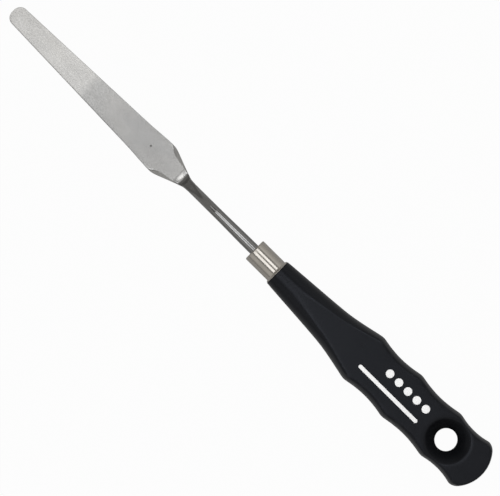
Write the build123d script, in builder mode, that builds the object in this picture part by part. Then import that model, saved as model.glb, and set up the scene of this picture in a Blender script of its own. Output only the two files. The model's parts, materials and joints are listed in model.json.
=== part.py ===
from build123d import *

import os
from math import atan2, cos, radians, sin, tan

# A cranked palette knife in three pieces: the forged blade with its shank and tang, the ferrule
# and the moulded handle. Millimetres. The knife lies along X with its tip at +X, Z is up, the
# underside of the blade is on Z = 0, and the two sides mirror each other about the XZ plane.

# ---- driving dimensions ----
overall_length = 234.3

# blade
tip_radius = 2.9
tip_thickness = 0.5
shoulder_x = 41.1               # the corner between the blade's side and its shoulder
shoulder_half_width = 6.3
side_taper = 0.037              # half-width lost per mm from the shoulder to the tip
shoulder_fillet = 12
edge_fillet = 0.15

# crank: the blade turns up at the heel and grows from flat to round on its way up
heel_x = 31.4
heel_thickness = 1.3
heel_inner_radius = 1.2
crank_angle = 34.5              # degrees
crank_top_x = 18.0
crank_flat = 3.2                # how much of the crank is still flat, along its slope
top_bend_radius = 7.0
neck_diameter = 3.62
neck_inset = 2.1                # from the heel to where the shoulder meets the neck, along the slope
neck_fillet = 4

# shank and tang
shank_diameter = 4.0
tang_depth = 46.0               # behind the front of the handle
spade_length = 12.0             # the flattened end that stops the tang from turning
spade_width = 5.4
spade_thickness = 2.6
spade_corner = 1.2

# ferrule
ferrule_front_x = -4.55
ferrule_radius = 4.42
ferrule_wall = 0.45
ferrule_nose_fillet = 0.45
flare_radius = 5.0
flare_length = 0.8
groove_radius = 0.35
groove_depth = 0.15

# handle: stations are measured from its front, radii from its axis
handle_length = 101.2
handle_front_radius = 5.18
handle_front_fillet = 0.15
grip = [(12, 6.04), (22, 6.78), (29, 7.47), (36, 8.75)]
crests = [43.1, 61.8, 81.2, 94.95]
crest_radius = 10.42            # where two scallops would meet
crest_fillet = 8
valley_radius = 9.1
butt_crest_radius = 10.15
butt_crest_fillet = 3
butt_valley_radius = 9.22
butt_arc_radius = 13.5
half_thickness_at_front = 6.15
face_taper = 0.0155             # half-thickness lost per mm towards the butt
face_edge_fillet = 0.6
spigot_gap = 0.6                # between the spigot and the closed nose of the ferrule

# hang hole, with a conical dish on each face
hole_station = 83.7
hole_radius = 4.1
hole_throat = 1.2
dish_flare = 0.94               # radius gained per mm of height

# ---- derived places ----
tip_x = overall_length / 2
tip_half_width = shoulder_half_width - side_taper * (tip_x - shoulder_x)
slope = radians(crank_angle)
heel_z = heel_thickness / 2
heel_shift = heel_z * tan(slope / 2)
neck_x = heel_x - neck_inset * cos(slope)
neck_radius = neck_diameter / 2
shank_z = heel_z + (heel_x - crank_top_x) * tan(slope)
shank_radius = shank_diameter / 2
shank_axis = Axis((0, 0, shank_z), (1, 0, 0))
bend_tangent = top_bend_radius * tan(slope / 2)
shank_start_x = crank_top_x - bend_tangent
crank_length = (heel_x - crank_top_x) / cos(slope) - bend_tangent
handle_front_x = handle_length - overall_length / 2
tang_end_x = handle_front_x - tang_depth
ferrule_bore = ferrule_radius - ferrule_wall


def on_crank(along, across=0):
    """X and Z of a point on the crank: along its slope from the heel, and across it, upwards."""
    return (
        heel_x - along * cos(slope) + across * sin(slope),
        heel_z + along * sin(slope) + across * cos(slope),
    )


def crank_plane(along):
    """The plane square to the crank at a distance from the heel."""
    x, z = on_crank(along)
    return Plane((x, 0, z), x_dir=(0, 1, 0), z_dir=(-cos(slope), 0, sin(slope)))


def at(station, radius):
    """X and Z of a point of the handle's outline."""
    return (handle_front_x - station, shank_z + radius)


def corner(x, y):
    """The vertex of the current sketch that is nearest to a point."""
    return vertices().sort_by_distance((x, y))[0]


# ---- blade: one forging from the tip to the end of the tang ----
with BuildPart() as blade:
    # side view: a thin wedge that turns up at the heel
    with BuildSketch(Plane.XZ):
        with BuildLine():
            Polyline(
                (tip_x, 0),
                (heel_x - heel_shift, 0),
                on_crank(crank_flat, -heel_z),
                on_crank(crank_flat, heel_z),
                (heel_x + heel_shift, heel_thickness),
                (tip_x, tip_thickness),
                close=True,
            )
        make_face()
        fillet(corner(heel_x + heel_shift, heel_thickness), heel_inner_radius)
        fillet(corner(heel_x - heel_shift, 0), heel_inner_radius + heel_thickness)
    extrude(amount=shoulder_half_width, both=True)

    # plan view: round tip, straight taper, shoulder and neck
    with BuildSketch(Plane.XY):
        with BuildLine():
            Polyline(
                (tip_x, 0),
                (tip_x, tip_half_width),
                (shoulder_x, shoulder_half_width),
                (neck_x, neck_radius),
                (crank_top_x, neck_radius),
                (crank_top_x, 0),
                close=True,
            )
        make_face()
        fillet(corner(tip_x, tip_half_width), tip_radius)
        fillet(corner(shoulder_x, shoulder_half_width), shoulder_fillet)
        fillet(corner(neck_x, neck_radius), neck_fillet)
        mirror(about=Plane.XZ)
    extrude(amount=shank_z, mode=Mode.INTERSECT)
    crank_end = faces().sort_by(Axis.X)[0].edges()
    long_edges = edges().filter_by(lambda e: e.length > heel_thickness and e not in crank_end)
    fillet(long_edges, edge_fillet)

    # crank: sections that grow thicker and rounder, up to a full circle
    round_part = crank_length - crank_flat
    for share, section_corner in [(0, edge_fillet), (0.35, 0.45), (0.7, 1.0)]:
        thickness = heel_thickness + share * (neck_diameter - heel_thickness)
        with BuildSketch(crank_plane(crank_flat + share * round_part)):
            RectangleRounded(neck_diameter, thickness, section_corner)
    with BuildSketch(crank_plane(crank_length)):
        Circle(neck_radius)
    loft()

    # bend at the top of the crank
    with BuildLine(Plane.XZ) as top_bend:
        TangentArc((shank_start_x, shank_z), on_crank(crank_length), tangent=(1, 0))
    with BuildSketch(Plane.YZ.offset(shank_start_x)):
        with Locations((0, shank_z)):
            Circle(neck_radius)
    sweep(path=top_bend.line)

    # shank, and the tang inside the handle
    with BuildSketch(Plane.XZ):
        with BuildLine():
            Polyline(
                (shank_start_x, shank_z),
                (shank_start_x, shank_z + neck_radius),
                (ferrule_front_x, shank_z + shank_radius),
                (tang_end_x, shank_z + shank_radius),
                (tang_end_x, shank_z),
                close=True,
            )
        make_face()
    revolve(axis=shank_axis)

    # spade at the end of the tang
    with BuildSketch(Plane.XZ):
        with Locations((tang_end_x + spade_length / 2, shank_z)):
            Rectangle(spade_length, shank_diameter)
            Rectangle(spade_length, spade_thickness, mode=Mode.SUBTRACT)
    extrude(amount=shank_radius, both=True, mode=Mode.SUBTRACT)
    with BuildSketch(Plane.XY.offset(shank_z - spade_thickness / 2)):
        with Locations((tang_end_x + spade_length / 2, 0)):
            RectangleRounded(spade_length, spade_width, spade_corner)
    extrude(amount=spade_thickness)
blade.part.label = "blade"

# ---- ferrule: a thin drawn cup with a groove and a flared rim, turned about the shank ----
with BuildPart() as ferrule:
    with BuildSketch(Plane.XZ):
        flare_start_x = handle_front_x + flare_length
        nose_back_x = ferrule_front_x - ferrule_wall
        with BuildLine():
            Polyline(
                (ferrule_front_x, shank_z + shank_radius),
                (ferrule_front_x, shank_z + ferrule_radius),
                (flare_start_x, shank_z + ferrule_radius),
                (handle_front_x, shank_z + flare_radius),
                (handle_front_x, shank_z + ferrule_bore),
                (nose_back_x, shank_z + ferrule_bore),
                (nose_back_x, shank_z + shank_radius),
                close=True,
            )
        make_face()
        fillet(corner(ferrule_front_x, shank_z + ferrule_radius), ferrule_nose_fillet)
        with Locations((flare_start_x, shank_z + ferrule_radius + groove_radius - groove_depth)):
            Circle(groove_radius, mode=Mode.SUBTRACT)
    revolve(axis=shank_axis)
ferrule.part.label = "ferrule"

# ---- handle: moulded on the tang ----
# The butt is an arc about butt_centre, and a smaller arc inside it rounds the corner to the last
# crest. The two arcs touch on the line through their centres.
butt_centre = handle_length - butt_arc_radius
crest_reach = crests[-1] - butt_centre
corner_radius = (butt_arc_radius**2 - crest_reach**2 - butt_crest_radius**2) / (
    2 * (butt_arc_radius - butt_crest_radius)
)
butt_angle = atan2(butt_crest_radius - corner_radius, crest_reach)


def on_butt(angle):
    """A point of the butt's arc at an angle from the handle's axis."""
    return at(butt_centre + butt_arc_radius * cos(angle), butt_arc_radius * sin(angle))


with BuildPart() as handle:
    # outline, turned about the axis
    with BuildSketch(Plane.XZ):
        with BuildLine():
            Spline(
                at(0, handle_front_radius),
                *[at(*point) for point in grip],
                at(crests[0], crest_radius),
                tangents=[(-1, 0.07), (-1, 0.2)],
            )
            for front, rear in zip(crests[:-2], crests[1:-1]):
                middle = (front + rear) / 2
                ThreePointArc(at(front, crest_radius), at(middle, valley_radius), at(rear, crest_radius))
            ThreePointArc(
                at(crests[-2], crest_radius),
                at((crests[-2] + crests[-1]) / 2, butt_valley_radius),
                at(crests[-1], butt_crest_radius),
            )
            TangentArc(at(crests[-1], butt_crest_radius), on_butt(butt_angle), tangent=(-1, 0))
            ThreePointArc(on_butt(butt_angle), on_butt(butt_angle / 2), on_butt(0))
            Polyline(on_butt(0), at(0, 0), at(0, handle_front_radius))
        make_face()
        for station in crests[:-1]:
            fillet(corner(*at(station, crest_radius)), crest_fillet)
        fillet(corner(*at(crests[-1], butt_crest_radius)), butt_crest_fillet)
        fillet(corner(*at(0, handle_front_radius)), handle_front_fillet)
    revolve(axis=shank_axis)

    # the two flat faces, closer together towards the butt
    half_thickness_at_butt = half_thickness_at_front - face_taper * handle_length
    with BuildSketch(Plane.XZ):
        with BuildLine():
            Polyline(
                at(0, -half_thickness_at_front),
                at(0, half_thickness_at_front),
                at(handle_length, half_thickness_at_butt),
                at(handle_length, -half_thickness_at_butt),
                close=True,
            )
        make_face()
    extrude(amount=crest_radius, both=True, mode=Mode.INTERSECT)
    flats = faces().filter_by(lambda f: f.geom_type == GeomType.PLANE and abs(f.normal_at().Z) > 0.9)
    fillet(flats.edges(), face_edge_fillet)

    # hang hole: a short straight throat between two dishes, whose cones run out past the faces
    hole_x = at(hole_station, 0)[0]
    throat_end = hole_throat / 2
    dish_end = half_thickness_at_front
    dish_end_radius = hole_radius + dish_flare * (dish_end - throat_end)
    with BuildSketch(Plane.XZ):
        with BuildLine():
            Polyline(
                (hole_x, shank_z + dish_end),
                (hole_x + dish_end_radius, shank_z + dish_end),
                (hole_x + hole_radius, shank_z + throat_end),
                (hole_x + hole_radius, shank_z - throat_end),
                (hole_x + dish_end_radius, shank_z - dish_end),
                (hole_x, shank_z - dish_end),
                close=True,
            )
        make_face()
    revolve(axis=Axis((hole_x, 0, 0), (0, 0, 1)), mode=Mode.SUBTRACT)

    # spigot inside the ferrule, then the space that the tang fills
    with BuildSketch(Plane.YZ.offset(handle_front_x)):
        with Locations((0, shank_z)):
            Circle(ferrule_bore)
    extrude(amount=nose_back_x - spigot_gap - handle_front_x)
    add(blade.part, mode=Mode.SUBTRACT)
handle.part.label = "handle"

os.makedirs("parts", exist_ok=True)
export_step(blade.part, "parts/blade.step")
export_step(ferrule.part, "parts/ferrule.step")
export_step(handle.part, "parts/handle.step")
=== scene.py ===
import json
from math import asin, atan, atan2, cos, hypot, pi, radians, sin, sqrt, tan

import bpy
from mathutils import Matrix, Vector


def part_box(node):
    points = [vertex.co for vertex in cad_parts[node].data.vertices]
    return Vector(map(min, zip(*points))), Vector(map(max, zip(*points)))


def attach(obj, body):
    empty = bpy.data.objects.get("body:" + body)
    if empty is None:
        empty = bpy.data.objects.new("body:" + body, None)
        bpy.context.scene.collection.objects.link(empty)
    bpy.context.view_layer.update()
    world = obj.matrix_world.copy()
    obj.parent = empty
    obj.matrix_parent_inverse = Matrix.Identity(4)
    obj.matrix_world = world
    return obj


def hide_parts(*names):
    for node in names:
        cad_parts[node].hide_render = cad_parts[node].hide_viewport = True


# A palette knife: a forged blade with a cranked shank, a plated ferrule and a moulded handle.
# Sizes are in millimetres. A mesh is turned into metres when it is made.

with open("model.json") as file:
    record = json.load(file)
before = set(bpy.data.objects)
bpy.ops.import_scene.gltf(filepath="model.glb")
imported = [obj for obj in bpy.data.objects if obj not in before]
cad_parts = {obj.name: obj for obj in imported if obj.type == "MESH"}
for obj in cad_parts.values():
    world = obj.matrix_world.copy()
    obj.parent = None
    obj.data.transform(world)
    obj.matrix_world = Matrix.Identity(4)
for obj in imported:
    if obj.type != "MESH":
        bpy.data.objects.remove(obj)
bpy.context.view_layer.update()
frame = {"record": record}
MM = 0.001

# ---- places from the CAD frame ----
blade_low, blade_high = (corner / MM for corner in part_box("blade"))
ferrule_low, ferrule_high = (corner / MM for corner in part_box("ferrule"))
handle_low, handle_high = (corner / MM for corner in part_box("handle"))
hang_hole = frame["record"]["mounts"][0]

tip_x = blade_high.x
tang_end_x = blade_low.x
shank_z = (ferrule_low.z + ferrule_high.z) / 2
ferrule_front_x = ferrule_high.x
handle_front_x = ferrule_low.x
handle_length = handle_front_x - handle_low.x
spigot_end_x = handle_high.x
hole_x = hang_hole["pos_m"][0] / MM
hole_radius = hang_hole["dims"]["r_mm"]
throat_half = hang_hole["dims"]["length_mm"] / 2

# ---- the forging ----
SHOULDER_X = 41.1
SHOULDER_HALF_WIDTH = 6.47
SIDE_TAPER = 0.034
SHOULDER_SPREAD = 0.35          # how much the sides open out just before the shoulder
SPREAD_START, SPREAD_END = 14, 1        # between these distances before it
CORNER_SOFTNESS = 0.5
TIP_RADIUS = 2.9
TIP_THICKNESS = 0.5
EDGE_RADIUS = 0.15
HEEL_X = 31.4
HEEL_THICKNESS = 1.3
HEEL_BEND = 1.85
GROOVE = 0.38                   # how far the top is pressed in at the heel
BEVEL_WIDTH = 1.8               # the worn-down edge of the shoulder, at its corner
BEVEL_END_WIDTH = 0.3           # and at the neck
BEVEL_SLOPE = 0.44
BEVEL_BELOW = 0.3               # the rounding of the shoulder's lower edge
PRESS_BEFORE = 2.1              # the press starts this far before the heel's bend,
PRESS_AFTER = 1.2               # is full this far into it
PRESS_FADE = 3                  # and is gone this far up the crank
CRANK_ANGLE = radians(34.5)
CRANK_TOP_X = 18.0
TOP_BEND = 13.0
NECK_INSET = 2.1
NECK_RADIUS = 1.81
NECK_SOFTNESS = 0.55
NECK_RUN = 3                    # past the neck by this much, the outline is the shank's
SHANK_RADIUS = 2.0
FULL_SHANK = 60                 # the shank is at its full radius this far from the tang's end
SPADE_LENGTH = 12.0
SPADE_HALF_WIDTH = 2.7
SPADE_HALF_THICKNESS = 1.3
SPADE_STEP = 0.3                # the round tang turns into the flat spade in this length
SPADE_EDGE = 0.4

# ---- the ferrule ----
FERRULE_RADIUS = 4.42
FERRULE_WALL = 0.45
NOSE_RADIUS = 0.45
LIP_RADIUS = 0.12               # the rounding of the hole in the nose
LIP_REACH = 0.14                # from the shank to the middle of that rounding
FLARE_RADIUS = 5.0
FLARE_LENGTH = 0.72
FLARE_GROOVE = 0.05             # the depth of the groove in front of the flare

# ---- the handle: stations from its front, radii from its axis ----
GRIP = [(0, 5.18), (12, 6.04), (22, 6.78), (29, 7.47), (36, 8.75), (43.1, 10.42)]
GRIP_FRONT_SLOPE = 0.07
CRESTS = [43.1, 61.8, 81.2, 94.95]
CREST_RADIUS = 10.42
CREST_SOFTNESS = 0.62
SOFTENED_REACH = 7              # how far from a crest it is softened
VALLEY_RADIUS = 9.1
BUTT_VALLEY_RADIUS = 9.22
BUTT_CREST_RADIUS = 10.15
BUTT_CREST_SOFTNESS = 0.12
BUTT_ARC_RADIUS = 13.5
HALF_THICKNESS = 6.15
FACE_TAPER = 0.0155
EDGE_SOFTNESS = 0.3
FRONT_ROUND = 0.15
SEAM_HEIGHT = 0.05              # the mould's parting line
SEAM_HALF_WIDTH = 0.16
DISH_FLARE = 0.94
DISH_RIM_SOFTNESS = 0.42
RIM_FADE_START = 8.4            # the rim's rounding fades out between these distances
RIM_FADE_END = 9.5              # from the middle of the hole
THROAT_FILLET = 0.25


def soft_min(a, b, softness):
    """The smaller of two numbers, rounded off where they are nearly equal."""
    return (a + b - hypot(a - b, softness)) / 2


def mix(a, b, share):
    return a + (b - a) * share


def ease(value, start, end):
    """0 before start, 1 after end, and a smooth step between them."""
    share = min(max((value - start) / (end - start), 0), 1)
    return share * share * (3 - 2 * share)


def spread(start, end, steps):
    """Evenly spaced numbers from start up to, but not including, end."""
    return [mix(start, end, i / steps) for i in range(steps)]


def make_piece(name, points, faces, sharp_angle=35):
    """A smooth-shaded object from points in millimetres, with edges sharper than an angle kept."""
    mesh = bpy.data.meshes.new(name)
    mesh.from_pydata([Vector(point) * MM for point in points], [], faces)
    mesh.shade_smooth()
    mesh.set_sharp_from_angle(angle=radians(sharp_angle))
    piece = bpy.data.objects.new(name, mesh)
    bpy.context.collection.objects.link(piece)
    return piece


def tube_faces(ring_count, around, first=0, closed=False):
    """Quads between consecutive rings of points."""
    faces = []
    for i in range(ring_count if closed else ring_count - 1):
        a, b = first + i * around, first + (i + 1) % ring_count * around
        faces += [(a + j, b + j, b + (j + 1) % around, a + (j + 1) % around) for j in range(around)]
    return faces


# ---------------------------------------------------------------- blade

slope_run = (HEEL_X - CRANK_TOP_X) / cos(CRANK_ANGLE)
heel_tangent = HEEL_BEND * tan(CRANK_ANGLE / 2)
top_tangent = TOP_BEND * tan(CRANK_ANGLE / 2)
heel_mid_z = HEEL_THICKNESS / 2
blade_end = tip_x - (HEEL_X + heel_tangent)     # path length from the tip to the heel's bend
heel_end = blade_end + HEEL_BEND * CRANK_ANGLE
crank_end = heel_end + slope_run - heel_tangent - top_tangent
bend_end = crank_end + TOP_BEND * CRANK_ANGLE
bend_end_x = CRANK_TOP_X - top_tangent
path_end = bend_end + bend_end_x - tang_end_x
shoulder_path = tip_x - SHOULDER_X
neck_path = blade_end + heel_tangent + NECK_INSET
neck_taper = (SHOULDER_HALF_WIDTH - NECK_RADIUS) / (neck_path - shoulder_path)


def middle_line(path):
    """X, Z and slope of the forging's middle at a path length from the tip."""
    if path < blade_end:
        x = tip_x - path
        return x, mix(TIP_THICKNESS, HEEL_THICKNESS, path / blade_end) / 2, 0.0
    if path < heel_end:
        angle = (path - blade_end) / HEEL_BEND
        return (HEEL_X + heel_tangent - HEEL_BEND * sin(angle),
                heel_mid_z + HEEL_BEND * (1 - cos(angle)), angle)
    if path < crank_end:
        along = path - heel_end + heel_tangent
        return (HEEL_X - along * cos(CRANK_ANGLE),
                heel_mid_z + along * sin(CRANK_ANGLE), CRANK_ANGLE)
    if path < bend_end:
        angle = (bend_end - path) / TOP_BEND
        return bend_end_x + TOP_BEND * sin(angle), shank_z - TOP_BEND * (1 - cos(angle)), angle
    return bend_end_x - (path - bend_end), shank_z, 0.0


def half_width_at(path):
    """Half the width of the forging, up to the spade."""
    if path > neck_path + NECK_RUN:
        return mix(NECK_RADIUS, SHANK_RADIUS, ease(path, bend_end, path_end - FULL_SHANK))
    side = SHOULDER_HALF_WIDTH - SIDE_TAPER * (shoulder_path - path)
    opened = ease(path, shoulder_path - SPREAD_START, shoulder_path - SPREAD_END)
    side -= SHOULDER_SPREAD * (1 - opened)
    shoulder = SHOULDER_HALF_WIDTH - neck_taper * (path - shoulder_path)
    neck = -soft_min(-shoulder, -NECK_RADIUS, NECK_SOFTNESS)
    half = soft_min(side, neck, CORNER_SOFTNESS)
    if path < TIP_RADIUS:
        half -= TIP_RADIUS - sqrt(TIP_RADIUS**2 - (TIP_RADIUS - path)**2)
    return half


CORNER_STEPS = 9                # points on a quarter of the forging's section
FLAT_STEPS = 10


def quarter_section(half_width, half_thickness, across, down, flatness):
    """Points from the middle of a side to just short of the middle of a face, with a corner cut
    across by down, which is an ellipse or, with flatness 1, a flat chamfer."""
    inner_y, inner_z = half_width - across, half_thickness - down
    points = [(half_width, inner_z * share) for share in (0, 0.5)]
    for angle in spread(0, pi / 2, CORNER_STEPS):
        share = angle / (pi / 2)
        points.append((inner_y + across * mix(cos(angle), 1 - share, flatness),
                       inner_z + down * mix(sin(angle), share, flatness)))
    return points + [(y, half_thickness) for y in spread(inner_y, 0, FLAT_STEPS)]


def section(half_width, half_thickness, top_corner, bottom_corner, roundness):
    """Points around a bar, counted from +Y over the top. roundness turns it into an ellipse."""
    top = quarter_section(half_width, half_thickness, *top_corner)
    bottom = quarter_section(half_width, half_thickness, *bottom_corner)
    loop = top + [(0, half_thickness)] + [(-y, z) for y, z in reversed(top[1:])]
    loop += [(-y, -z) for y, z in bottom] + [(0, -half_thickness)]
    loop += [(y, -z) for y, z in reversed(bottom[1:])]
    turned = [2 * pi * i / len(loop) for i in range(len(loop))]
    return [(mix(y, half_width * cos(angle), roundness),
             mix(z, half_thickness * sin(angle), roundness))
            for (y, z), angle in zip(loop, turned)]


def blade_ring(path):
    """Points around the forging, square to its middle line."""
    x, z, angle = middle_line(path)
    half_width = half_width_at(path)
    thickness = mix(TIP_THICKNESS, HEEL_THICKNESS, min(path / blade_end, 1))
    roundness = ease(path, heel_end, crank_end)
    half_thickness = mix(thickness / 2, half_width, roundness)
    if path < EDGE_RADIUS:
        half_thickness -= EDGE_RADIUS - sqrt(EDGE_RADIUS**2 - (EDGE_RADIUS - path)**2)
    bevel = ease(path, shoulder_path - 3, shoulder_path + 2)
    bevel_width = mix(BEVEL_WIDTH, BEVEL_END_WIDTH, ease(path, shoulder_path, heel_end))
    top_corner = (mix(EDGE_RADIUS, bevel_width, bevel),
                  mix(EDGE_RADIUS, bevel_width * BEVEL_SLOPE, bevel), bevel)
    below = mix(EDGE_RADIUS, BEVEL_BELOW, bevel)
    bottom_corner = (below, below, 0)
    pressed = GROOVE * ease(path, blade_end - PRESS_BEFORE, blade_end + PRESS_AFTER)
    pressed *= 1 - ease(path, heel_end, heel_end + PRESS_FADE)
    spade = ease(path, path_end - SPADE_LENGTH - SPADE_STEP, path_end - SPADE_LENGTH)
    if spade:
        half_width = mix(half_width, SPADE_HALF_WIDTH, spade)
        half_thickness = mix(half_thickness, SPADE_HALF_THICKNESS, spade)
        roundness *= 1 - spade
        top_corner = bottom_corner = (SPADE_EDGE, SPADE_EDGE, 0)
    ring = []
    for y, across in section(half_width, half_thickness, top_corner, bottom_corner, roundness):
        across -= pressed * (1 - 0.6 * (y / half_width)**2) * max(across / half_thickness, 0)
        ring.append((x + across * sin(angle), y, z + across * cos(angle)))
    return ring


def blade_stations():
    """Path lengths of the forging's rings, closest where it bends."""
    spade_start = path_end - SPADE_LENGTH
    stations = [0.0, 0.02, 0.05, 0.09]
    stations += [TIP_RADIUS * (1 - cos(radians(a))) for a in range(17, 90, 5)]
    stops = [TIP_RADIUS, shoulder_path - 8, blade_end - 3, blade_end, heel_end, crank_end,
             bend_end, spade_start - SPADE_STEP, spade_start, path_end]
    for start, end, steps in zip(stops, stops[1:], (44, 34, 20, 12, 30, 14, 30, 3, 6)):
        stations += spread(start, end, steps)
    return stations + [path_end]


rings = [blade_ring(path) for path in blade_stations()]
faces = tube_faces(len(rings), len(rings[0]))
count = len(rings[0])
last = (len(rings) - 1) * count
faces += [tuple(range(count)), tuple(reversed(range(last, last + count)))]
blade = make_piece("blade_forging", [point for ring in rings for point in ring], faces, 14)

# ---------------------------------------------------------------- ferrule


def arc(centre_x, centre_r, radius, start, end, steps):
    """Points (x, radius) on an arc, with angles in degrees from +X towards the outside."""
    return [(centre_x + radius * cos(radians(a)), centre_r + radius * sin(radians(a)))
            for a in spread(start, end, steps)] + [
        (centre_x + radius * cos(radians(end)), centre_r + radius * sin(radians(end)))]


def revolve(name, profile, around=96, sharp_angle=35):
    """Turns a closed profile of (x, radius) about the shank's axis."""
    points = []
    for x, radius in profile:
        for j in range(around):
            angle = 2 * pi * j / around
            points.append((x, radius * cos(angle), shank_z + radius * sin(angle)))
    return make_piece(name, points, tube_faces(len(profile), around, closed=True), sharp_angle)


flare_x = handle_front_x + FLARE_LENGTH
bore = FERRULE_RADIUS - FERRULE_WALL
nose_back_x = ferrule_front_x - FERRULE_WALL
ferrule_profile = (
    arc(ferrule_front_x - LIP_RADIUS, SHANK_RADIUS + LIP_REACH, LIP_RADIUS, -90, 0, 3)
    + [(ferrule_front_x, mix(SHANK_RADIUS, FERRULE_RADIUS, 0.5))]
    + arc(ferrule_front_x - NOSE_RADIUS, FERRULE_RADIUS - NOSE_RADIUS, NOSE_RADIUS, 0, 90, 8)
    + [(mix(ferrule_front_x, flare_x, share), FERRULE_RADIUS)
       for share in (0.2, 0.4, 0.6, 0.8, 0.92)]
    + [(flare_x + 0.30, FERRULE_RADIUS), (flare_x + 0.16, FERRULE_RADIUS)]
    + [(flare_x + 0.08, FERRULE_RADIUS - 0.03), (flare_x, FERRULE_RADIUS - FLARE_GROOVE)]
    + [(flare_x - 0.10, FERRULE_RADIUS)]
    + [(handle_front_x + 0.32, FLARE_RADIUS - 0.05), (handle_front_x + 0.2, FLARE_RADIUS - 0.01)]
    + [(handle_front_x + 0.12, FLARE_RADIUS)]
    + [(handle_front_x + 0.04, FLARE_RADIUS - 0.03), (handle_front_x, FLARE_RADIUS - 0.12)]
    + [(handle_front_x, bore + 0.3), (handle_front_x + 0.2, bore + 0.03)]
    + [(handle_front_x + 0.6, bore), (nose_back_x - 0.25, bore)]
    + [(nose_back_x, bore - 0.25), (nose_back_x, SHANK_RADIUS + LIP_REACH)]
)
ferrule = revolve("ferrule_cup", ferrule_profile)

# ---------------------------------------------------------------- handle

crest_ends = list(zip(CRESTS[:-1], CRESTS[1:]))


def scallop(front, rear, front_radius, rear_radius, valley_radius):
    """The circle through both crests and the valley between them: (station, radius, own radius)."""
    ax, ay, cx, cy = front, front_radius, rear, rear_radius
    bx, by = (front + rear) / 2, valley_radius
    d = 2 * (ax * (by - cy) + bx * (cy - ay) + cx * (ay - by))
    a, b, c = ax**2 + ay**2, bx**2 + by**2, cx**2 + cy**2
    ux = (a * (by - cy) + b * (cy - ay) + c * (ay - by)) / d
    uy = (a * (cx - bx) + b * (ax - cx) + c * (bx - ax)) / d
    return ux, uy, hypot(ax - ux, ay - uy)


scallops = [scallop(front, rear, CREST_RADIUS, CREST_RADIUS, VALLEY_RADIUS)
            for front, rear in crest_ends[:-1]]
scallops.append(scallop(*crest_ends[-1], CREST_RADIUS, BUTT_CREST_RADIUS, BUTT_VALLEY_RADIUS))

butt_centre = handle_length - BUTT_ARC_RADIUS
crest_reach = CRESTS[-1] - butt_centre
corner_radius = (BUTT_ARC_RADIUS**2 - crest_reach**2 - BUTT_CREST_RADIUS**2) / (
    2 * (BUTT_ARC_RADIUS - BUTT_CREST_RADIUS)
)
butt_angle = atan2(BUTT_CREST_RADIUS - corner_radius, crest_reach)
butt_join = butt_centre + BUTT_ARC_RADIUS * cos(butt_angle)


def grip_radius(station):
    """A smooth curve through the grip's points, straight on past the last of them."""
    slopes = []
    for i in range(len(GRIP)):
        before, after = GRIP[max(i - 1, 0)], GRIP[min(i + 1, len(GRIP) - 1)]
        slopes.append((after[1] - before[1]) / (after[0] - before[0]))
    slopes[0] = GRIP_FRONT_SLOPE
    if station >= GRIP[-1][0]:
        return GRIP[-1][1] + slopes[-1] * (station - GRIP[-1][0])
    i = max(k for k, point in enumerate(GRIP) if point[0] <= station)
    (s0, r0), (s1, r1) = GRIP[i], GRIP[i + 1]
    span = s1 - s0
    t = (station - s0) / span
    return (r0 * (1 + 2 * t) * (1 - t)**2 + slopes[i] * span * t * (1 - t)**2
            + r1 * t * t * (3 - 2 * t) + slopes[i + 1] * span * t * t * (t - 1))


def scallop_radius(i, station):
    centre, height, radius = scallops[i]
    return height - sqrt(max(radius**2 - (station - centre)**2, 0))


def butt_radius(station):
    """The last crest's level, the corner after it and the butt's arc."""
    if station <= CRESTS[-1]:
        return BUTT_CREST_RADIUS
    if station <= butt_join:
        along = station - CRESTS[-1]
        return BUTT_CREST_RADIUS - corner_radius + sqrt(corner_radius**2 - along**2)
    return sqrt(max(BUTT_ARC_RADIUS**2 - (station - butt_centre)**2, 0))


def turned_radius(station):
    """The handle's outline in plan."""
    if station > CRESTS[-1] + 1.5:
        return butt_radius(station)
    curves = [grip_radius] + [lambda s, i=i: scallop_radius(i, s) for i in range(3)] + [butt_radius]
    i = sum(station > crest for crest in CRESTS)
    nearest = min(range(4), key=lambda k: abs(station - CRESTS[k]))
    softness = BUTT_CREST_SOFTNESS if nearest == 3 else CREST_SOFTNESS
    away = abs(station - CRESTS[nearest])
    if away > SOFTENED_REACH:
        return curves[i](station)
    fade = 1 - ease(away, SOFTENED_REACH / 2, SOFTENED_REACH)
    return soft_min(curves[nearest](station), curves[nearest + 1](station),
                    softness * max(fade, 1e-6))


def half_thickness_at(station):
    return HALF_THICKNESS - FACE_TAPER * station


def body_radius(station, angle):
    """Distance from the handle's axis to its skin, at a station and an angle from +Y."""
    round_part = turned_radius(station)
    flat_part = half_thickness_at(station) / max(abs(sin(angle)), 1e-6)
    softness = min(EDGE_SOFTNESS, round_part * 0.2)
    skin = soft_min(round_part, flat_part, softness)
    seam = SEAM_HEIGHT * max(0, 1 - abs(sin(angle)) * round_part / SEAM_HALF_WIDTH)
    return skin + seam * ease(station, 1, 2) * (1 - ease(station, 99, 100))


def body_point(station, angle):
    radius = body_radius(station, angle)
    return handle_front_x - station, radius * cos(angle), radius * sin(angle)


def body_height(station, y):
    """Height of the handle's top above its axis."""
    low, high = 0.05, pi - 0.05
    for _ in range(40):
        angle = (low + high) / 2
        if body_radius(station, angle) * cos(angle) > y:
            low = angle
        else:
            high = angle
    return body_radius(station, angle) * sin(angle)


def dish_height(reach):
    return throat_half + (reach - hole_radius) / DISH_FLARE


def cut_dish(x, y, z):
    """Lowers a point of the top onto the dish."""
    reach = hypot(x - hole_x, y)
    if reach >= RIM_FADE_END:
        return x, y, z
    softness = DISH_RIM_SOFTNESS * (1 - ease(reach, RIM_FADE_START, RIM_FADE_END))
    return x, y, soft_min(z, dish_height(reach), softness)


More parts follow.
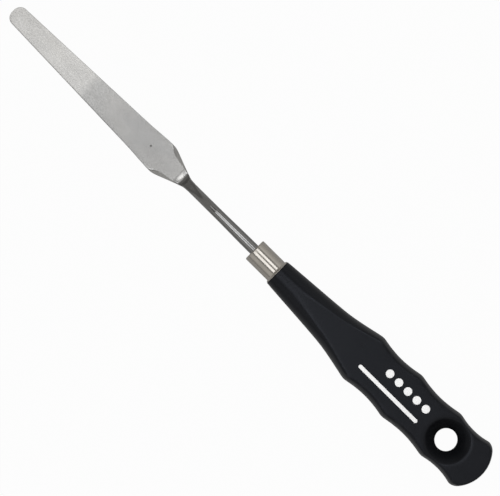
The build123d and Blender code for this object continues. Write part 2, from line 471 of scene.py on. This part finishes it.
HANDLE_AROUND = 144
PATCH_REACH = 28                # grid steps on each side of the top that the dish's patch takes
PATCH_FRONT, PATCH_REAR = 70.4, 94.4    # the stations that it lies between
INNER_CIRCLE, OUTER_CIRCLE = 7.1, 8.7   # its circles, as distances from the hole's middle
PATCH_STEPS = 9                 # from the outer circle to the grid
BUTT_START = 97.4               # from here on the stations follow the butt's arc
quarter_turn = HANDLE_AROUND // 4
low_j, high_j = quarter_turn - PATCH_REACH, quarter_turn + PATCH_REACH
stations = [0.0, 0.03, 0.08, 0.16] + spread(0.3, 1.4, 3) + spread(1.4, PATCH_FRONT, 100)
patch_start = len(stations)
stations += spread(PATCH_FRONT, PATCH_REAR, 40)
patch_end = len(stations)
stations += spread(PATCH_REAR, BUTT_START, 10)
first_angle = asin(butt_radius(BUTT_START) / BUTT_ARC_RADIUS)
stations += [butt_centre + BUTT_ARC_RADIUS * cos(a) for a in spread(first_angle, 0, 34)]

points, faces = [], []
for station in stations:
    before = FRONT_ROUND - min(station, FRONT_ROUND)
    round_over = FRONT_ROUND - sqrt(max(FRONT_ROUND**2 - before**2, 0))
    for j in range(HANDLE_AROUND):
        angle = 2 * pi * j / HANDLE_AROUND
        radius = body_radius(station, angle) - round_over
        points.append((handle_front_x - station, radius * cos(angle), radius * sin(angle)))
top = range(low_j, high_j)
bottom = range(low_j + 2 * quarter_turn, high_j + 2 * quarter_turn)
for i in range(len(stations) - 1):
    for j in range(HANDLE_AROUND):
        if patch_start <= i < patch_end and (j in top or j in bottom):
            continue
        a, b, k = i * HANDLE_AROUND, (i + 1) * HANDLE_AROUND, (j + 1) % HANDLE_AROUND
        faces.append((a + j, b + j, b + k, a + k))
pole = len(points)
points.append((handle_front_x - handle_length, 0, 0))
a = (len(stations) - 1) * HANDLE_AROUND
faces += [(a + j, pole, a + (j + 1) % HANDLE_AROUND) for j in range(HANDLE_AROUND)]

# the patches round the hang hole: circles inside, blending out to the edge of the grid
edge = [(patch_start, j) for j in range(low_j, high_j)]
edge += [(i, high_j) for i in range(patch_start, patch_end)]
edge += [(patch_end, j) for j in range(high_j, low_j, -1)]
edge += [(i, low_j) for i in range(patch_end, patch_start, -1)]
bearings = []
for i, j in edge:
    x, y, _ = points[i * HANDLE_AROUND + j]
    bearings.append(atan2(y, x - hole_x))
circles = spread(INNER_CIRCLE, OUTER_CIRCLE, 10) + [OUTER_CIRCLE]
throat_turn = pi / 2 - atan(1 / DISH_FLARE)
dish_profile = [(hole_radius + THROAT_FILLET * (1 - cos(a)),
                 throat_half + THROAT_FILLET * (sin(a) - tan(throat_turn / 2)))
                for a in spread(0, throat_turn, 6)]
cone_start = hole_radius + THROAT_FILLET * (1 - cos(throat_turn))
dish_profile += [(reach, dish_height(reach)) for reach in spread(cone_start, INNER_CIRCLE, 8)]

patch_rings = []                # from the throat outwards, as points above the axis
for reach, height in dish_profile:
    patch_rings.append([(hole_x + reach * cos(b), reach * sin(b), height) for b in bearings])
for reach in circles:
    ring = []
    for b in bearings:
        x, y = hole_x + reach * cos(b), reach * sin(b)
        ring.append(cut_dish(x, y, body_height(handle_front_x - x, y)))
    patch_rings.append(ring)
outer = []
for x, y, _ in patch_rings[-1]:
    station = handle_front_x - x
    outer.append((station, atan2(body_height(station, y), y)))
for step in range(1, PATCH_STEPS):
    share = step / PATCH_STEPS
    ring = []
    for (i, j), (station, angle) in zip(edge, outer):
        s = mix(station, stations[i], share)
        ring.append(cut_dish(*body_point(s, mix(angle, 2 * pi * j / HANDLE_AROUND, share))))
    patch_rings.append(ring)

around = len(edge)
throat_rings = {}
for side in (1, -1):
    first = len(points)
    for ring in patch_rings:
        points += [(x, y, side * z) for x, y, z in ring]
    throat_rings[side] = first
    patch_faces = tube_faces(len(patch_rings), around, first)
    outermost = first + (len(patch_rings) - 1) * around
    grid = [i * HANDLE_AROUND + (j if side == 1 else -j % HANDLE_AROUND) for i, j in edge]
    patch_faces += [(outermost + k, grid[k], grid[(k + 1) % around], outermost + (k + 1) % around)
                    for k in range(around)]
    faces += [face if side == -1 else tuple(reversed(face)) for face in patch_faces]
faces += [(throat_rings[-1] + (k + 1) % around, throat_rings[1] + (k + 1) % around,
           throat_rings[1] + k, throat_rings[-1] + k) for k in range(around)]

# the spigot in the ferrule and the bore that the tang fills
clearance = 0.03
spigot_radius = bore - clearance
bore_depth_x = tang_end_x - clearance
spigot_profile = [
    (handle_front_x, spigot_radius),
    (spigot_end_x + 0.2, spigot_radius),
    (spigot_end_x, spigot_radius - 0.2),
    (spigot_end_x, SHANK_RADIUS + clearance),
    (tang_end_x + SPADE_LENGTH + 0.4, SHANK_RADIUS + clearance),
    (tang_end_x + SPADE_LENGTH + 0.4, SPADE_HALF_WIDTH + clearance),
    (bore_depth_x, SPADE_HALF_WIDTH + clearance),
]
first = len(points)
full_turn = [2 * pi * j / HANDLE_AROUND for j in range(HANDLE_AROUND)]
for x, radius in spigot_profile:
    points += [(x, radius * cos(a), radius * sin(a)) for a in full_turn]
spigot_faces = tube_faces(len(spigot_profile), HANDLE_AROUND, first)
spigot_faces += [(j, first + j, first + (j + 1) % HANDLE_AROUND, (j + 1) % HANDLE_AROUND)
                 for j in range(HANDLE_AROUND)]
last = first + (len(spigot_profile) - 1) * HANDLE_AROUND
faces += [tuple(reversed(face)) for face in spigot_faces]
faces.append(tuple(range(last, last + HANDLE_AROUND)))

handle = make_piece("handle_moulding", [(x, y, shank_z + z) for x, y, z in points], faces)

# ---------------------------------------------------------------- the print on the handle

PRINT_X = -73.1                 # the middle of the print
PRINT_SINK = 0.03               # how far its underside is sunk into the handle
PRINT_LIFT = 0.02
PRINT_THICKNESS = 0.03
PRINT_INSET = 0.06              # the ink's edge slopes in by this much
DAB_SPACING = 4.4
DAB_RADIUS = 1.5
DAB_Y = -2.6
BAR_HALF_LENGTH = 14.2
BAR_HALF_HEIGHT = 0.7
BAR_Y = 2.9


def print_shapes():
    """Outlines of the print's dabs and bar, as lists of (x, y) from the middle of the print."""
    turn = [2 * pi * k / 48 for k in range(48)]
    shapes = [[(DAB_SPACING * i + DAB_RADIUS * cos(a), DAB_Y + DAB_RADIUS * sin(a)) for a in turn]
              for i in range(-3, 2)]
    bar = []
    for side, start in ((1, -90), (-1, 90)):
        end_x = side * (BAR_HALF_LENGTH - BAR_HALF_HEIGHT)
        bar += [(end_x + BAR_HALF_HEIGHT * cos(a), BAR_Y + BAR_HALF_HEIGHT * sin(a))
                for a in [radians(start + 7.5 * k) for k in range(25)]]
    return shapes + [bar]


def build_print():
    """The print, each shape a thin raised pad with its underside in the handle."""
    layers = ((0, -PRINT_SINK), (0, PRINT_LIFT), (PRINT_INSET, PRINT_LIFT + PRINT_THICKNESS))
    points, faces = [], []
    for outline in print_shapes():
        centre_x = sum(x for x, y in outline) / len(outline)
        centre_y = sum(y for x, y in outline) / len(outline)
        reach = max(hypot(x - centre_x, y - centre_y) for x, y in outline)
        height = max(abs(y - centre_y) for x, y in outline)
        first, around = len(points), len(outline)
        for inset, lift in layers:
            for x, y in outline:
                dx, dy = x - centre_x, y - centre_y
                x2 = centre_x + dx * (1 - inset / reach)
                y2 = centre_y + dy * (1 - inset / height)
                station = handle_front_x - (PRINT_X + x2)
                points.append((PRINT_X + x2, y2, shank_z + half_thickness_at(station) + lift))
        faces += [tuple(reversed(face)) for face in tube_faces(len(layers), around, first)]
        faces.append(tuple(range(first + 2 * around, first + 3 * around)))
        faces.append(tuple(reversed(range(first, first + around))))
    return make_piece("print_motif", points, faces)


motif = build_print()

# ---------------------------------------------------------------- materials


def new_material(name):
    """A material with an empty Principled BSDF and its node tree."""
    material = bpy.data.materials.new(name)
    material.use_nodes = True
    tree = material.node_tree
    tree.nodes.clear()
    shader = tree.nodes.new("ShaderNodeBsdfPrincipled")
    output = tree.nodes.new("ShaderNodeOutputMaterial")
    tree.links.new(shader.outputs["BSDF"], output.inputs["Surface"])
    return material, tree, shader


def object_position(tree, scale=(1, 1, 1)):
    """The point being shaded, in millimetres, stretched along each axis."""
    place = tree.nodes.new("ShaderNodeTexCoord")
    mapping = tree.nodes.new("ShaderNodeMapping")
    mapping.inputs["Scale"].default_value = [value / MM for value in scale]
    tree.links.new(place.outputs["Object"], mapping.inputs["Vector"])
    return mapping.outputs["Vector"]


def noise(tree, size, detail=3.0, roughness=0.5, stretch=(1, 1, 1), seed=0.0):
    """Noise whose grain is about size millimetres, from 0 to 1."""
    texture = tree.nodes.new("ShaderNodeTexNoise")
    texture.noise_dimensions = "4D"
    texture.inputs["W"].default_value = seed
    texture.inputs["Scale"].default_value = 1
    texture.inputs["Detail"].default_value = detail
    texture.inputs["Roughness"].default_value = roughness
    position = object_position(tree, [value / size for value in stretch])
    tree.links.new(position, texture.inputs["Vector"])
    return texture.outputs["Fac"]


def remap(tree, value, low, high, new_low, new_high, smooth=False):
    node = tree.nodes.new("ShaderNodeMapRange")
    node.interpolation_type = "SMOOTHSTEP" if smooth else "LINEAR"
    node.inputs["From Min"].default_value = low
    node.inputs["From Max"].default_value = high
    node.inputs["To Min"].default_value = new_low
    node.inputs["To Max"].default_value = new_high
    tree.links.new(value, node.inputs["Value"])
    return node.outputs["Result"]


def vary(tree, texture, low, high):
    """A noise, most of which is between 0.3 and 0.7, spread from low to high."""
    return remap(tree, texture, 0.3, 0.7, low, high)


def combine(tree, operation, a, b):
    """A Math node on two sockets or numbers."""
    node = tree.nodes.new("ShaderNodeMath")
    node.operation = operation
    for socket, value in zip(node.inputs, (a, b)):
        if isinstance(value, (int, float)):
            socket.default_value = value
        else:
            tree.links.new(value, socket)
    return node.outputs["Value"]


def mix_colour(tree, share, a, b):
    """From colour a to colour b as share goes from 0 to 1. Either may be a socket."""
    node = tree.nodes.new("ShaderNodeMix")
    node.data_type = "RGBA"
    tree.links.new(share, node.inputs["Factor"])
    for name, value in (("A", a), ("B", b)):
        socket = [s for s in node.inputs if s.name == name and s.type == "RGBA"][0]
        if isinstance(value, tuple):
            socket.default_value = (*value, 1)
        else:
            tree.links.new(value, socket)
    return [s for s in node.outputs if s.type == "RGBA"][0]


def axis(tree, name):
    """One coordinate of the point being shaded, in millimetres."""
    split = tree.nodes.new("ShaderNodeSeparateXYZ")
    tree.links.new(object_position(tree), split.inputs["Vector"])
    return split.outputs[name]


def bump(tree, shader, layers):
    """Bumps from (height socket, depth in millimetres) layers, one on another."""
    normal = None
    for height, depth in layers:
        node = tree.nodes.new("ShaderNodeBump")
        node.inputs["Strength"].default_value = 1
        node.inputs["Distance"].default_value = depth * MM
        tree.links.new(height, node.inputs["Height"])
        if normal is not None:
            tree.links.new(normal, node.inputs["Normal"])
        normal = node.outputs["Normal"]
    tree.links.new(normal, shader.inputs["Normal"])


PIT_X, PIT_Y = 47.9, -0.4


def steel_material():
    """A ground and satin-polished blade that turns into a darker forged shank."""
    material, tree, shader = new_material("satin_steel")
    shader.inputs["Metallic"].default_value = 1
    x, y = axis(tree, "X"), axis(tree, "Y")
    streaks = noise(tree, 0.10, 4, 0.6, (0.02, 1, 1), 1.0)
    cross = noise(tree, 0.16, 3, 0.6, (1, 0.05, 1), 5.0)
    grain = noise(tree, 0.35, 4, 0.6, (0.5, 1, 1), 2.0)
    cloud = noise(tree, 6.0, 3, 0.5, (0.6, 1, 1), 3.0)
    warm = noise(tree, 9.0, 2, 0.5, (0.6, 1, 1), 7.0)

    # painted reflection: the blade is painted lighter over its tip end, with a ragged edge,
    # standing for a bright panel seen in it
    ragged_x = combine(tree, "ADD", x, vary(tree, cloud, -1.5, 1.5))
    painted_bright_tip = remap(tree, ragged_x, 76.0, 81.0, 0, 1, True)
    forged = remap(tree, x, 30.0, 32.2, 1, 0, True)
    # painted shade: the shank turns darker where it rises into the top bend, so its highlight
    # starts further back
    painted_dark_bend = remap(tree, x, 12.9, 17.4, 0, 1, True)
    blade_colour = mix_colour(tree, painted_bright_tip, (0.60, 0.60, 0.595), (0.80, 0.795, 0.78))
    warmth = remap(tree, warm, 0.35, 0.65, 0, 0.10)
    blade_colour = mix_colour(tree, warmth, blade_colour, (0.70, 0.64, 0.55))
    # painted highlight: the shank is painted lighter along its top and underside, most of all near
    # the crank
    off_axis = combine(tree, "ABSOLUTE", combine(tree, "SUBTRACT", axis(tree, "Z"), shank_z), 0)
    painted_shank_highlight = combine(tree, "MULTIPLY", remap(tree, off_axis, 1.7, 1.97, 0, 1, True),
                     remap(tree, x, -2.5, 11, 0.12, 1))
    shank_colour = mix_colour(tree, painted_shank_highlight, (0.32, 0.317, 0.31), (0.60, 0.597, 0.59))
    # the painted shade at the top bend, laid over the shank's colour and its painted highlight
    shank_colour = mix_colour(tree, painted_dark_bend, shank_colour, (0.36, 0.357, 0.35))
    colour = mix_colour(tree, forged, blade_colour, shank_colour)
    dull = combine(tree, "ADD", vary(tree, grain, -0.02, 0.22), vary(tree, cloud, 0, 0.16))
    colour = mix_colour(tree, dull, colour, (0.20, 0.20, 0.20))

    # a speck of a pit on the middle of the blade
    pit_x, pit_y = combine(tree, "SUBTRACT", x, PIT_X), combine(tree, "SUBTRACT", y, PIT_Y)
    reach = combine(tree, "SQRT", combine(tree, "ADD", combine(tree, "MULTIPLY", pit_x, pit_x),
                                          combine(tree, "MULTIPLY", pit_y, pit_y)), 0)
    pit = remap(tree, reach, 0.2, 0.45, 0.9, 0, True)
    colour = mix_colour(tree, pit, colour, (0.06, 0.055, 0.05))
    tree.links.new(colour, shader.inputs["Base Color"])

    rough = combine(tree, "ADD", vary(tree, grain, 0.17, 0.24), remap(tree, forged, 0, 1, 0, -0.07))
    rough = combine(tree, "ADD", rough, vary(tree, streaks, -0.02, 0.03))
    tree.links.new(rough, shader.inputs["Roughness"])
    bump(tree, shader, [(streaks, 0.0012), (cross, 0.0008), (grain, 0.002),
                        (combine(tree, "MULTIPLY", grain, forged), 0.006)])
    return material


def plate_material():
    """Warm nickel plate, with the fine rings of its turning and a few dull patches."""
    material, tree, shader = new_material("nickel_plate")
    shader.inputs["Metallic"].default_value = 1
    rings_seen = noise(tree, 0.12, 3, 0.6, (1, 0.02, 0.02), 11.0)
    cloud = noise(tree, 2.2, 3, 0.55, (1, 1, 1), 12.0)
    speck = noise(tree, 0.25, 2, 0.5, (1, 1, 1), 13.0)
    colour = mix_colour(tree, remap(tree, cloud, 0.35, 0.7, 0, 0.5),
                        (0.635, 0.600, 0.548), (0.575, 0.540, 0.488))
    colour = mix_colour(tree, remap(tree, speck, 0.62, 0.75, 0, 0.25), colour, (0.30, 0.26, 0.21))
    tree.links.new(colour, shader.inputs["Base Color"])
    rough = combine(tree, "ADD", vary(tree, cloud, 0.13, 0.19), vary(tree, rings_seen, -0.02, 0.03))
    tree.links.new(rough, shader.inputs["Roughness"])
    bump(tree, shader, [(rings_seen, 0.0012), (speck, 0.0010)])
    return material


def plastic_material():
    """Black moulded plastic with a fine spark-eroded grain and light rubbing."""
    material, tree, shader = new_material("black_plastic")
    shader.inputs["IOR"].default_value = 1.5
    shader.inputs["Specular IOR Level"].default_value = 0.39
    shader.inputs["Specular Tint"].default_value = (0.82, 0.87, 1.0, 1)
    grain = noise(tree, 0.16, 3, 0.6, (1, 1, 1), 21.0)
    flow = noise(tree, 7.0, 3, 0.5, (0.5, 1, 1), 22.0)
    rub = noise(tree, 0.5, 4, 0.6, (0.25, 1, 1), 23.0)
    colour = mix_colour(tree, vary(tree, flow, 0, 1),
                        (0.0028, 0.0030, 0.0038), (0.0040, 0.0042, 0.0052))
    colour = mix_colour(tree, remap(tree, rub, 0.60, 0.78, 0, 0.5), colour, (0.008, 0.0082, 0.0095))
    tree.links.new(colour, shader.inputs["Base Color"])
    rough = combine(tree, "ADD", vary(tree, flow, 0.28, 0.34),
                    remap(tree, rub, 0.35, 0.75, 0.02, -0.03))
    tree.links.new(rough, shader.inputs["Roughness"])
    bump(tree, shader, [(flow, 0.03), (grain, 0.0035)])
    return material


def ink_material():
    """White pad-printed ink, a little thin in places."""
    material, tree, shader = new_material("white_ink")
    thin = noise(tree, 0.5, 4, 0.6, (1, 1, 1), 31.0)
    colour = mix_colour(tree, remap(tree, thin, 0.55, 0.8, 0, 0.25),
                        (0.93, 0.93, 0.93), (0.72, 0.73, 0.75))
    tree.links.new(colour, shader.inputs["Base Color"])
    tree.links.new(vary(tree, thin, 0.42, 0.52), shader.inputs["Roughness"])
    bump(tree, shader, [(noise(tree, 0.12, 2, 0.5, (1, 1, 1), 32.0), 0.002)])
    return material


blade.data.materials.append(steel_material())
ferrule.data.materials.append(plate_material())
handle.data.materials.append(plastic_material())
motif.data.materials.append(ink_material())

for piece, slot, node in (
    (blade, "blade_steel", "blade"),
    (ferrule, "ferrule_plate", "ferrule"),
    (handle, "handle_plastic", "handle"),
):
    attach(piece, "root")
    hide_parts(node)
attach(motif, "root")

# ---------------------------------------------------------------- floor, light and camera


FLOOR_LIFT = 0.97               # share of glow in the floor that the camera sees
FLOOR_BOUNCE = 0.09             # and in the floor that the knife reflects
FLOOR_RADIUS = 4000
FLOOR_Z = -0.02
FLOOR_AROUND = 96


def floor_material():
    """Pale paper. The camera sees it almost white, and the knife reflects it darker."""
    material, tree, shader = new_material("pale_paper")
    tone = noise(tree, 30.0, 2, 0.5, (1, 1, 1), 41.0)
    paper = mix_colour(tree, vary(tree, tone, 0, 1), (0.72, 0.72, 0.72), (0.74, 0.74, 0.74))
    tree.links.new(paper, shader.inputs["Base Color"])
    shader.inputs["Roughness"].default_value = 0.9
    shader.inputs["Specular IOR Level"].default_value = 0.1
    glow = tree.nodes.new("ShaderNodeEmission")
    glow.inputs["Color"].default_value = (1, 1, 1, 1)
    glow.inputs["Strength"].default_value = 1.0
    path = tree.nodes.new("ShaderNodeLightPath")
    blend = tree.nodes.new("ShaderNodeMixShader")
    glow_share = remap(tree, path.outputs["Is Camera Ray"], 0, 1, FLOOR_BOUNCE, FLOOR_LIFT)
    tree.links.new(glow_share, blend.inputs["Fac"])
    tree.links.new(shader.outputs["BSDF"], blend.inputs[1])
    tree.links.new(glow.outputs["Emission"], blend.inputs[2])
    output = [node for node in tree.nodes if node.type == "OUTPUT_MATERIAL"][0]
    tree.links.new(blend.outputs["Shader"], output.inputs["Surface"])
    return material


floor_turn = [2 * pi * i / FLOOR_AROUND for i in range(FLOOR_AROUND)]
floor_points = [(FLOOR_RADIUS * cos(a), FLOOR_RADIUS * sin(a), FLOOR_Z) for a in floor_turn]
floor = make_piece("floor", floor_points, [tuple(range(FLOOR_AROUND))])
floor.data.materials.append(floor_material())


def ramp(tree, value, low, high, levels, colour=(1, 1, 1)):
    """A brightness that eases between (position, level) stops as value goes from low to high."""
    node = tree.nodes.new("ShaderNodeValToRGB")
    node.color_ramp.interpolation = "EASE"
    stops = node.color_ramp.elements
    while len(stops) < len(levels):
        stops.new(0.5)
    for stop, (position, level) in zip(stops, levels):
        stop.position = (position - low) / (high - low)
        stop.color = (*[level * part for part in colour], 1)
    tree.links.new(remap(tree, value, low, high, 0, 1), node.inputs["Fac"])
    return node.outputs["Color"]


SIDE_LEVEL = 0.6                # the brightness of the two ends of the studio
WARM = (1.0, 0.985, 0.96)
COOL = (1.0, 1.01, 1.03)


def world_light():
    """A soft studio. Its brightness changes with the angle across the knife, in degrees from
    overhead towards +Y, and along it, as the sine of the angle towards the tip."""
    world = bpy.data.worlds.new("studio")
    bpy.context.scene.world = world
    world.use_nodes = True
    tree = world.node_tree
    tree.nodes.clear()
    place = tree.nodes.new("ShaderNodeTexCoord")
    split = tree.nodes.new("ShaderNodeSeparateXYZ")
    tree.links.new(place.outputs["Generated"], split.inputs["Vector"])
    angle = combine(tree, "ARCTAN2", split.outputs["Y"], split.outputs["Z"])
    angle = combine(tree, "MULTIPLY", angle, 180 / pi)
    across = ramp(tree, angle, -90, 90, [
        (-90, 0.42), (-75, 0.45), (-62, 0.54), (-53, 0.62), (-46, 0.38), (-38, 0.22),
        (-10, 0.20), (3, 0.20), (27, 0.14), (33, 0.14), (40, 0.46), (55, 0.52), (66, 0.50),
        (77, 0.42), (84, 0.28), (90, 0.16),
    ], WARM)
    sideways = remap(tree, combine(tree, "ABSOLUTE", split.outputs["X"], 0), 0.2, 0.5, 0, 1, True)
    base = mix_colour(tree, sideways, across, tuple(SIDE_LEVEL * part for part in WARM))
    along = ramp(tree, split.outputs["X"], -1, 1, [
        (-1, 0.19), (-0.93, 0.19), (-0.8, 0.6), (-0.3, 0.8), (0, 1), (0.3, 0.76), (0.45, 0.54),
        (0.84, 0.53), (0.89, 0.33), (0.955, 0.32), (0.98, 0.34), (1, 0.42),
    ])
    background = tree.nodes.new("ShaderNodeBackground")
    tree.links.new(base, background.inputs["Color"])
    tree.links.new(along, background.inputs["Strength"])
    seen = tree.nodes.new("ShaderNodeBackground")
    seen.inputs["Color"].default_value = (0.97, 0.97, 0.97, 1)
    path = tree.nodes.new("ShaderNodeLightPath")
    blend = tree.nodes.new("ShaderNodeMixShader")
    output = tree.nodes.new("ShaderNodeOutputWorld")
    tree.links.new(path.outputs["Is Camera Ray"], blend.inputs["Fac"])
    tree.links.new(background.outputs["Background"], blend.inputs[1])
    tree.links.new(seen.outputs["Background"], blend.inputs[2])
    tree.links.new(blend.outputs["Shader"], output.inputs["Surface"])


def panel_light(name, radiance, height, y_angles, x_angles, colour=(1, 1, 1), only=None):
    """A level panel above the knife, between angles from the vertical on each axis, in degrees.
    It lights the whole scene, or only one piece."""
    y0, y1 = [height * tan(radians(a)) for a in y_angles]
    x0, x1 = [height * tan(radians(a)) for a in x_angles]
    light = bpy.data.lights.new(name, "AREA")
    light.shape = "RECTANGLE"
    light.size, light.size_y = x1 - x0, y1 - y0
    light.energy = radiance * pi * light.size * light.size_y
    light.color = colour
    panel = bpy.data.objects.new(name, light)
    panel.location = ((x0 + x1) / 2, (y0 + y1) / 2, height)
    panel.visible_camera = False
    bpy.context.collection.objects.link(panel)
    if only:
        lit = bpy.data.collections.new(name)
        lit.objects.link(only)
        panel.light_linking.receiver_collection = lit


world_light()
panel_light("softbox_left", 1.42, 1.3, (3.5, 26), (-8.5, 6.5), COOL)
panel_light("softbox_right", 1.42, 1.3, (-31, -11), (-8.5, 6.5), COOL)
panel_light("softbox_blade", 0.67, 1.2, (-11, 3.5), (1.5, 7.8))
panel_light("softbox_tip", 0.98, 1.2, (-12, 4), (10.3, 17))
panel_light("softbox_far", 0.62, 1.2, (-12, 4), (17, 27))
panel_light("heel_kicker", 2.5, 1.25, (-6, 6), (-24, -11), only=blade)
panel_light("handle_fill", 0.19, 1.22, (-14, 12), (-32, 2), COOL, only=handle)
panel_light("print_lamp", 4.4, 1.0, (-20, 20), (-20, 10), only=motif)

CAMERA_LENS = 112.34
CAMERA_X, CAMERA_Y = -3.05, 0.63
CAMERA_HEIGHT = 550             # above the shank
PICTURE_RIGHT = (-0.7103, -0.7039, 0)
PICTURE_UP = (0.7039, -0.7103, 0)

camera_data = bpy.data.cameras.new("camera")
camera_data.sensor_width = 36
camera_data.lens = CAMERA_LENS
camera = bpy.data.objects.new("camera", camera_data)
right, up = Vector(PICTURE_RIGHT).normalized(), Vector(PICTURE_UP).normalized()
turn = Matrix((right, up, right.cross(up))).transposed().to_4x4()
camera_place = Vector((CAMERA_X, CAMERA_Y, shank_z + CAMERA_HEIGHT)) * MM
camera.matrix_world = Matrix.Translation(camera_place) @ turn
bpy.context.collection.objects.link(camera)
bpy.context.scene.camera = camera
bpy.context.scene.view_settings.view_transform = "Standard"

bpy.context.view_layer.update()
